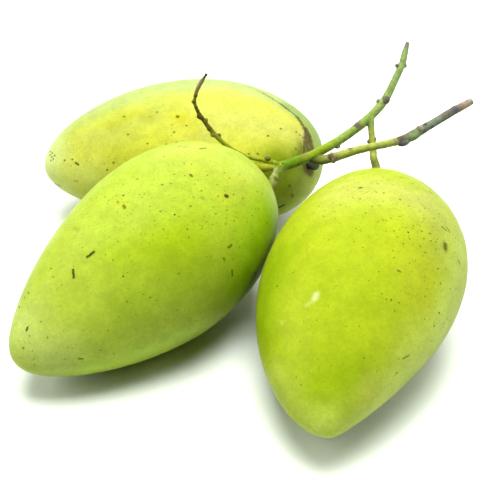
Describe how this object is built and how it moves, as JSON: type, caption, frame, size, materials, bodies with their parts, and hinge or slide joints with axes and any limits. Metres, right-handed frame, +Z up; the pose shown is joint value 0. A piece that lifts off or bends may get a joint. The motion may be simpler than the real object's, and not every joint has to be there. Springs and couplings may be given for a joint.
{
  "type": "mango bunch",
  "caption": "Bunch of green and yellow mangoes lying on their sides, held together by one forked stalk with a dry twig.",
  "frame": {"origin": "on the table, under the middle of the bunch's bounding box", "axes": "+Z up; +Y from the tips of the front fruits to the rear fruit; +X towards the cut end of the stalk"},
  "size_m": [0.2025, 0.2232, 0.0959],
  "materials": {
    "lime_skin": "waxy fruit skin, semi-gloss, speckled",
    "bright_lime_skin": "waxy fruit skin, semi-gloss, speckled",
    "yellow_skin": "waxy fruit skin, semi-gloss, with a sap stain",
    "green_bark": "young green bark, brown and grey at its ends"
  },
  "bodies": {
    "root": {"mango_left": "lime_skin", "mango_right": "bright_lime_skin", "mango_rear": "yellow_skin", "stalk": "green_bark"}
  },
  "joints": []
}
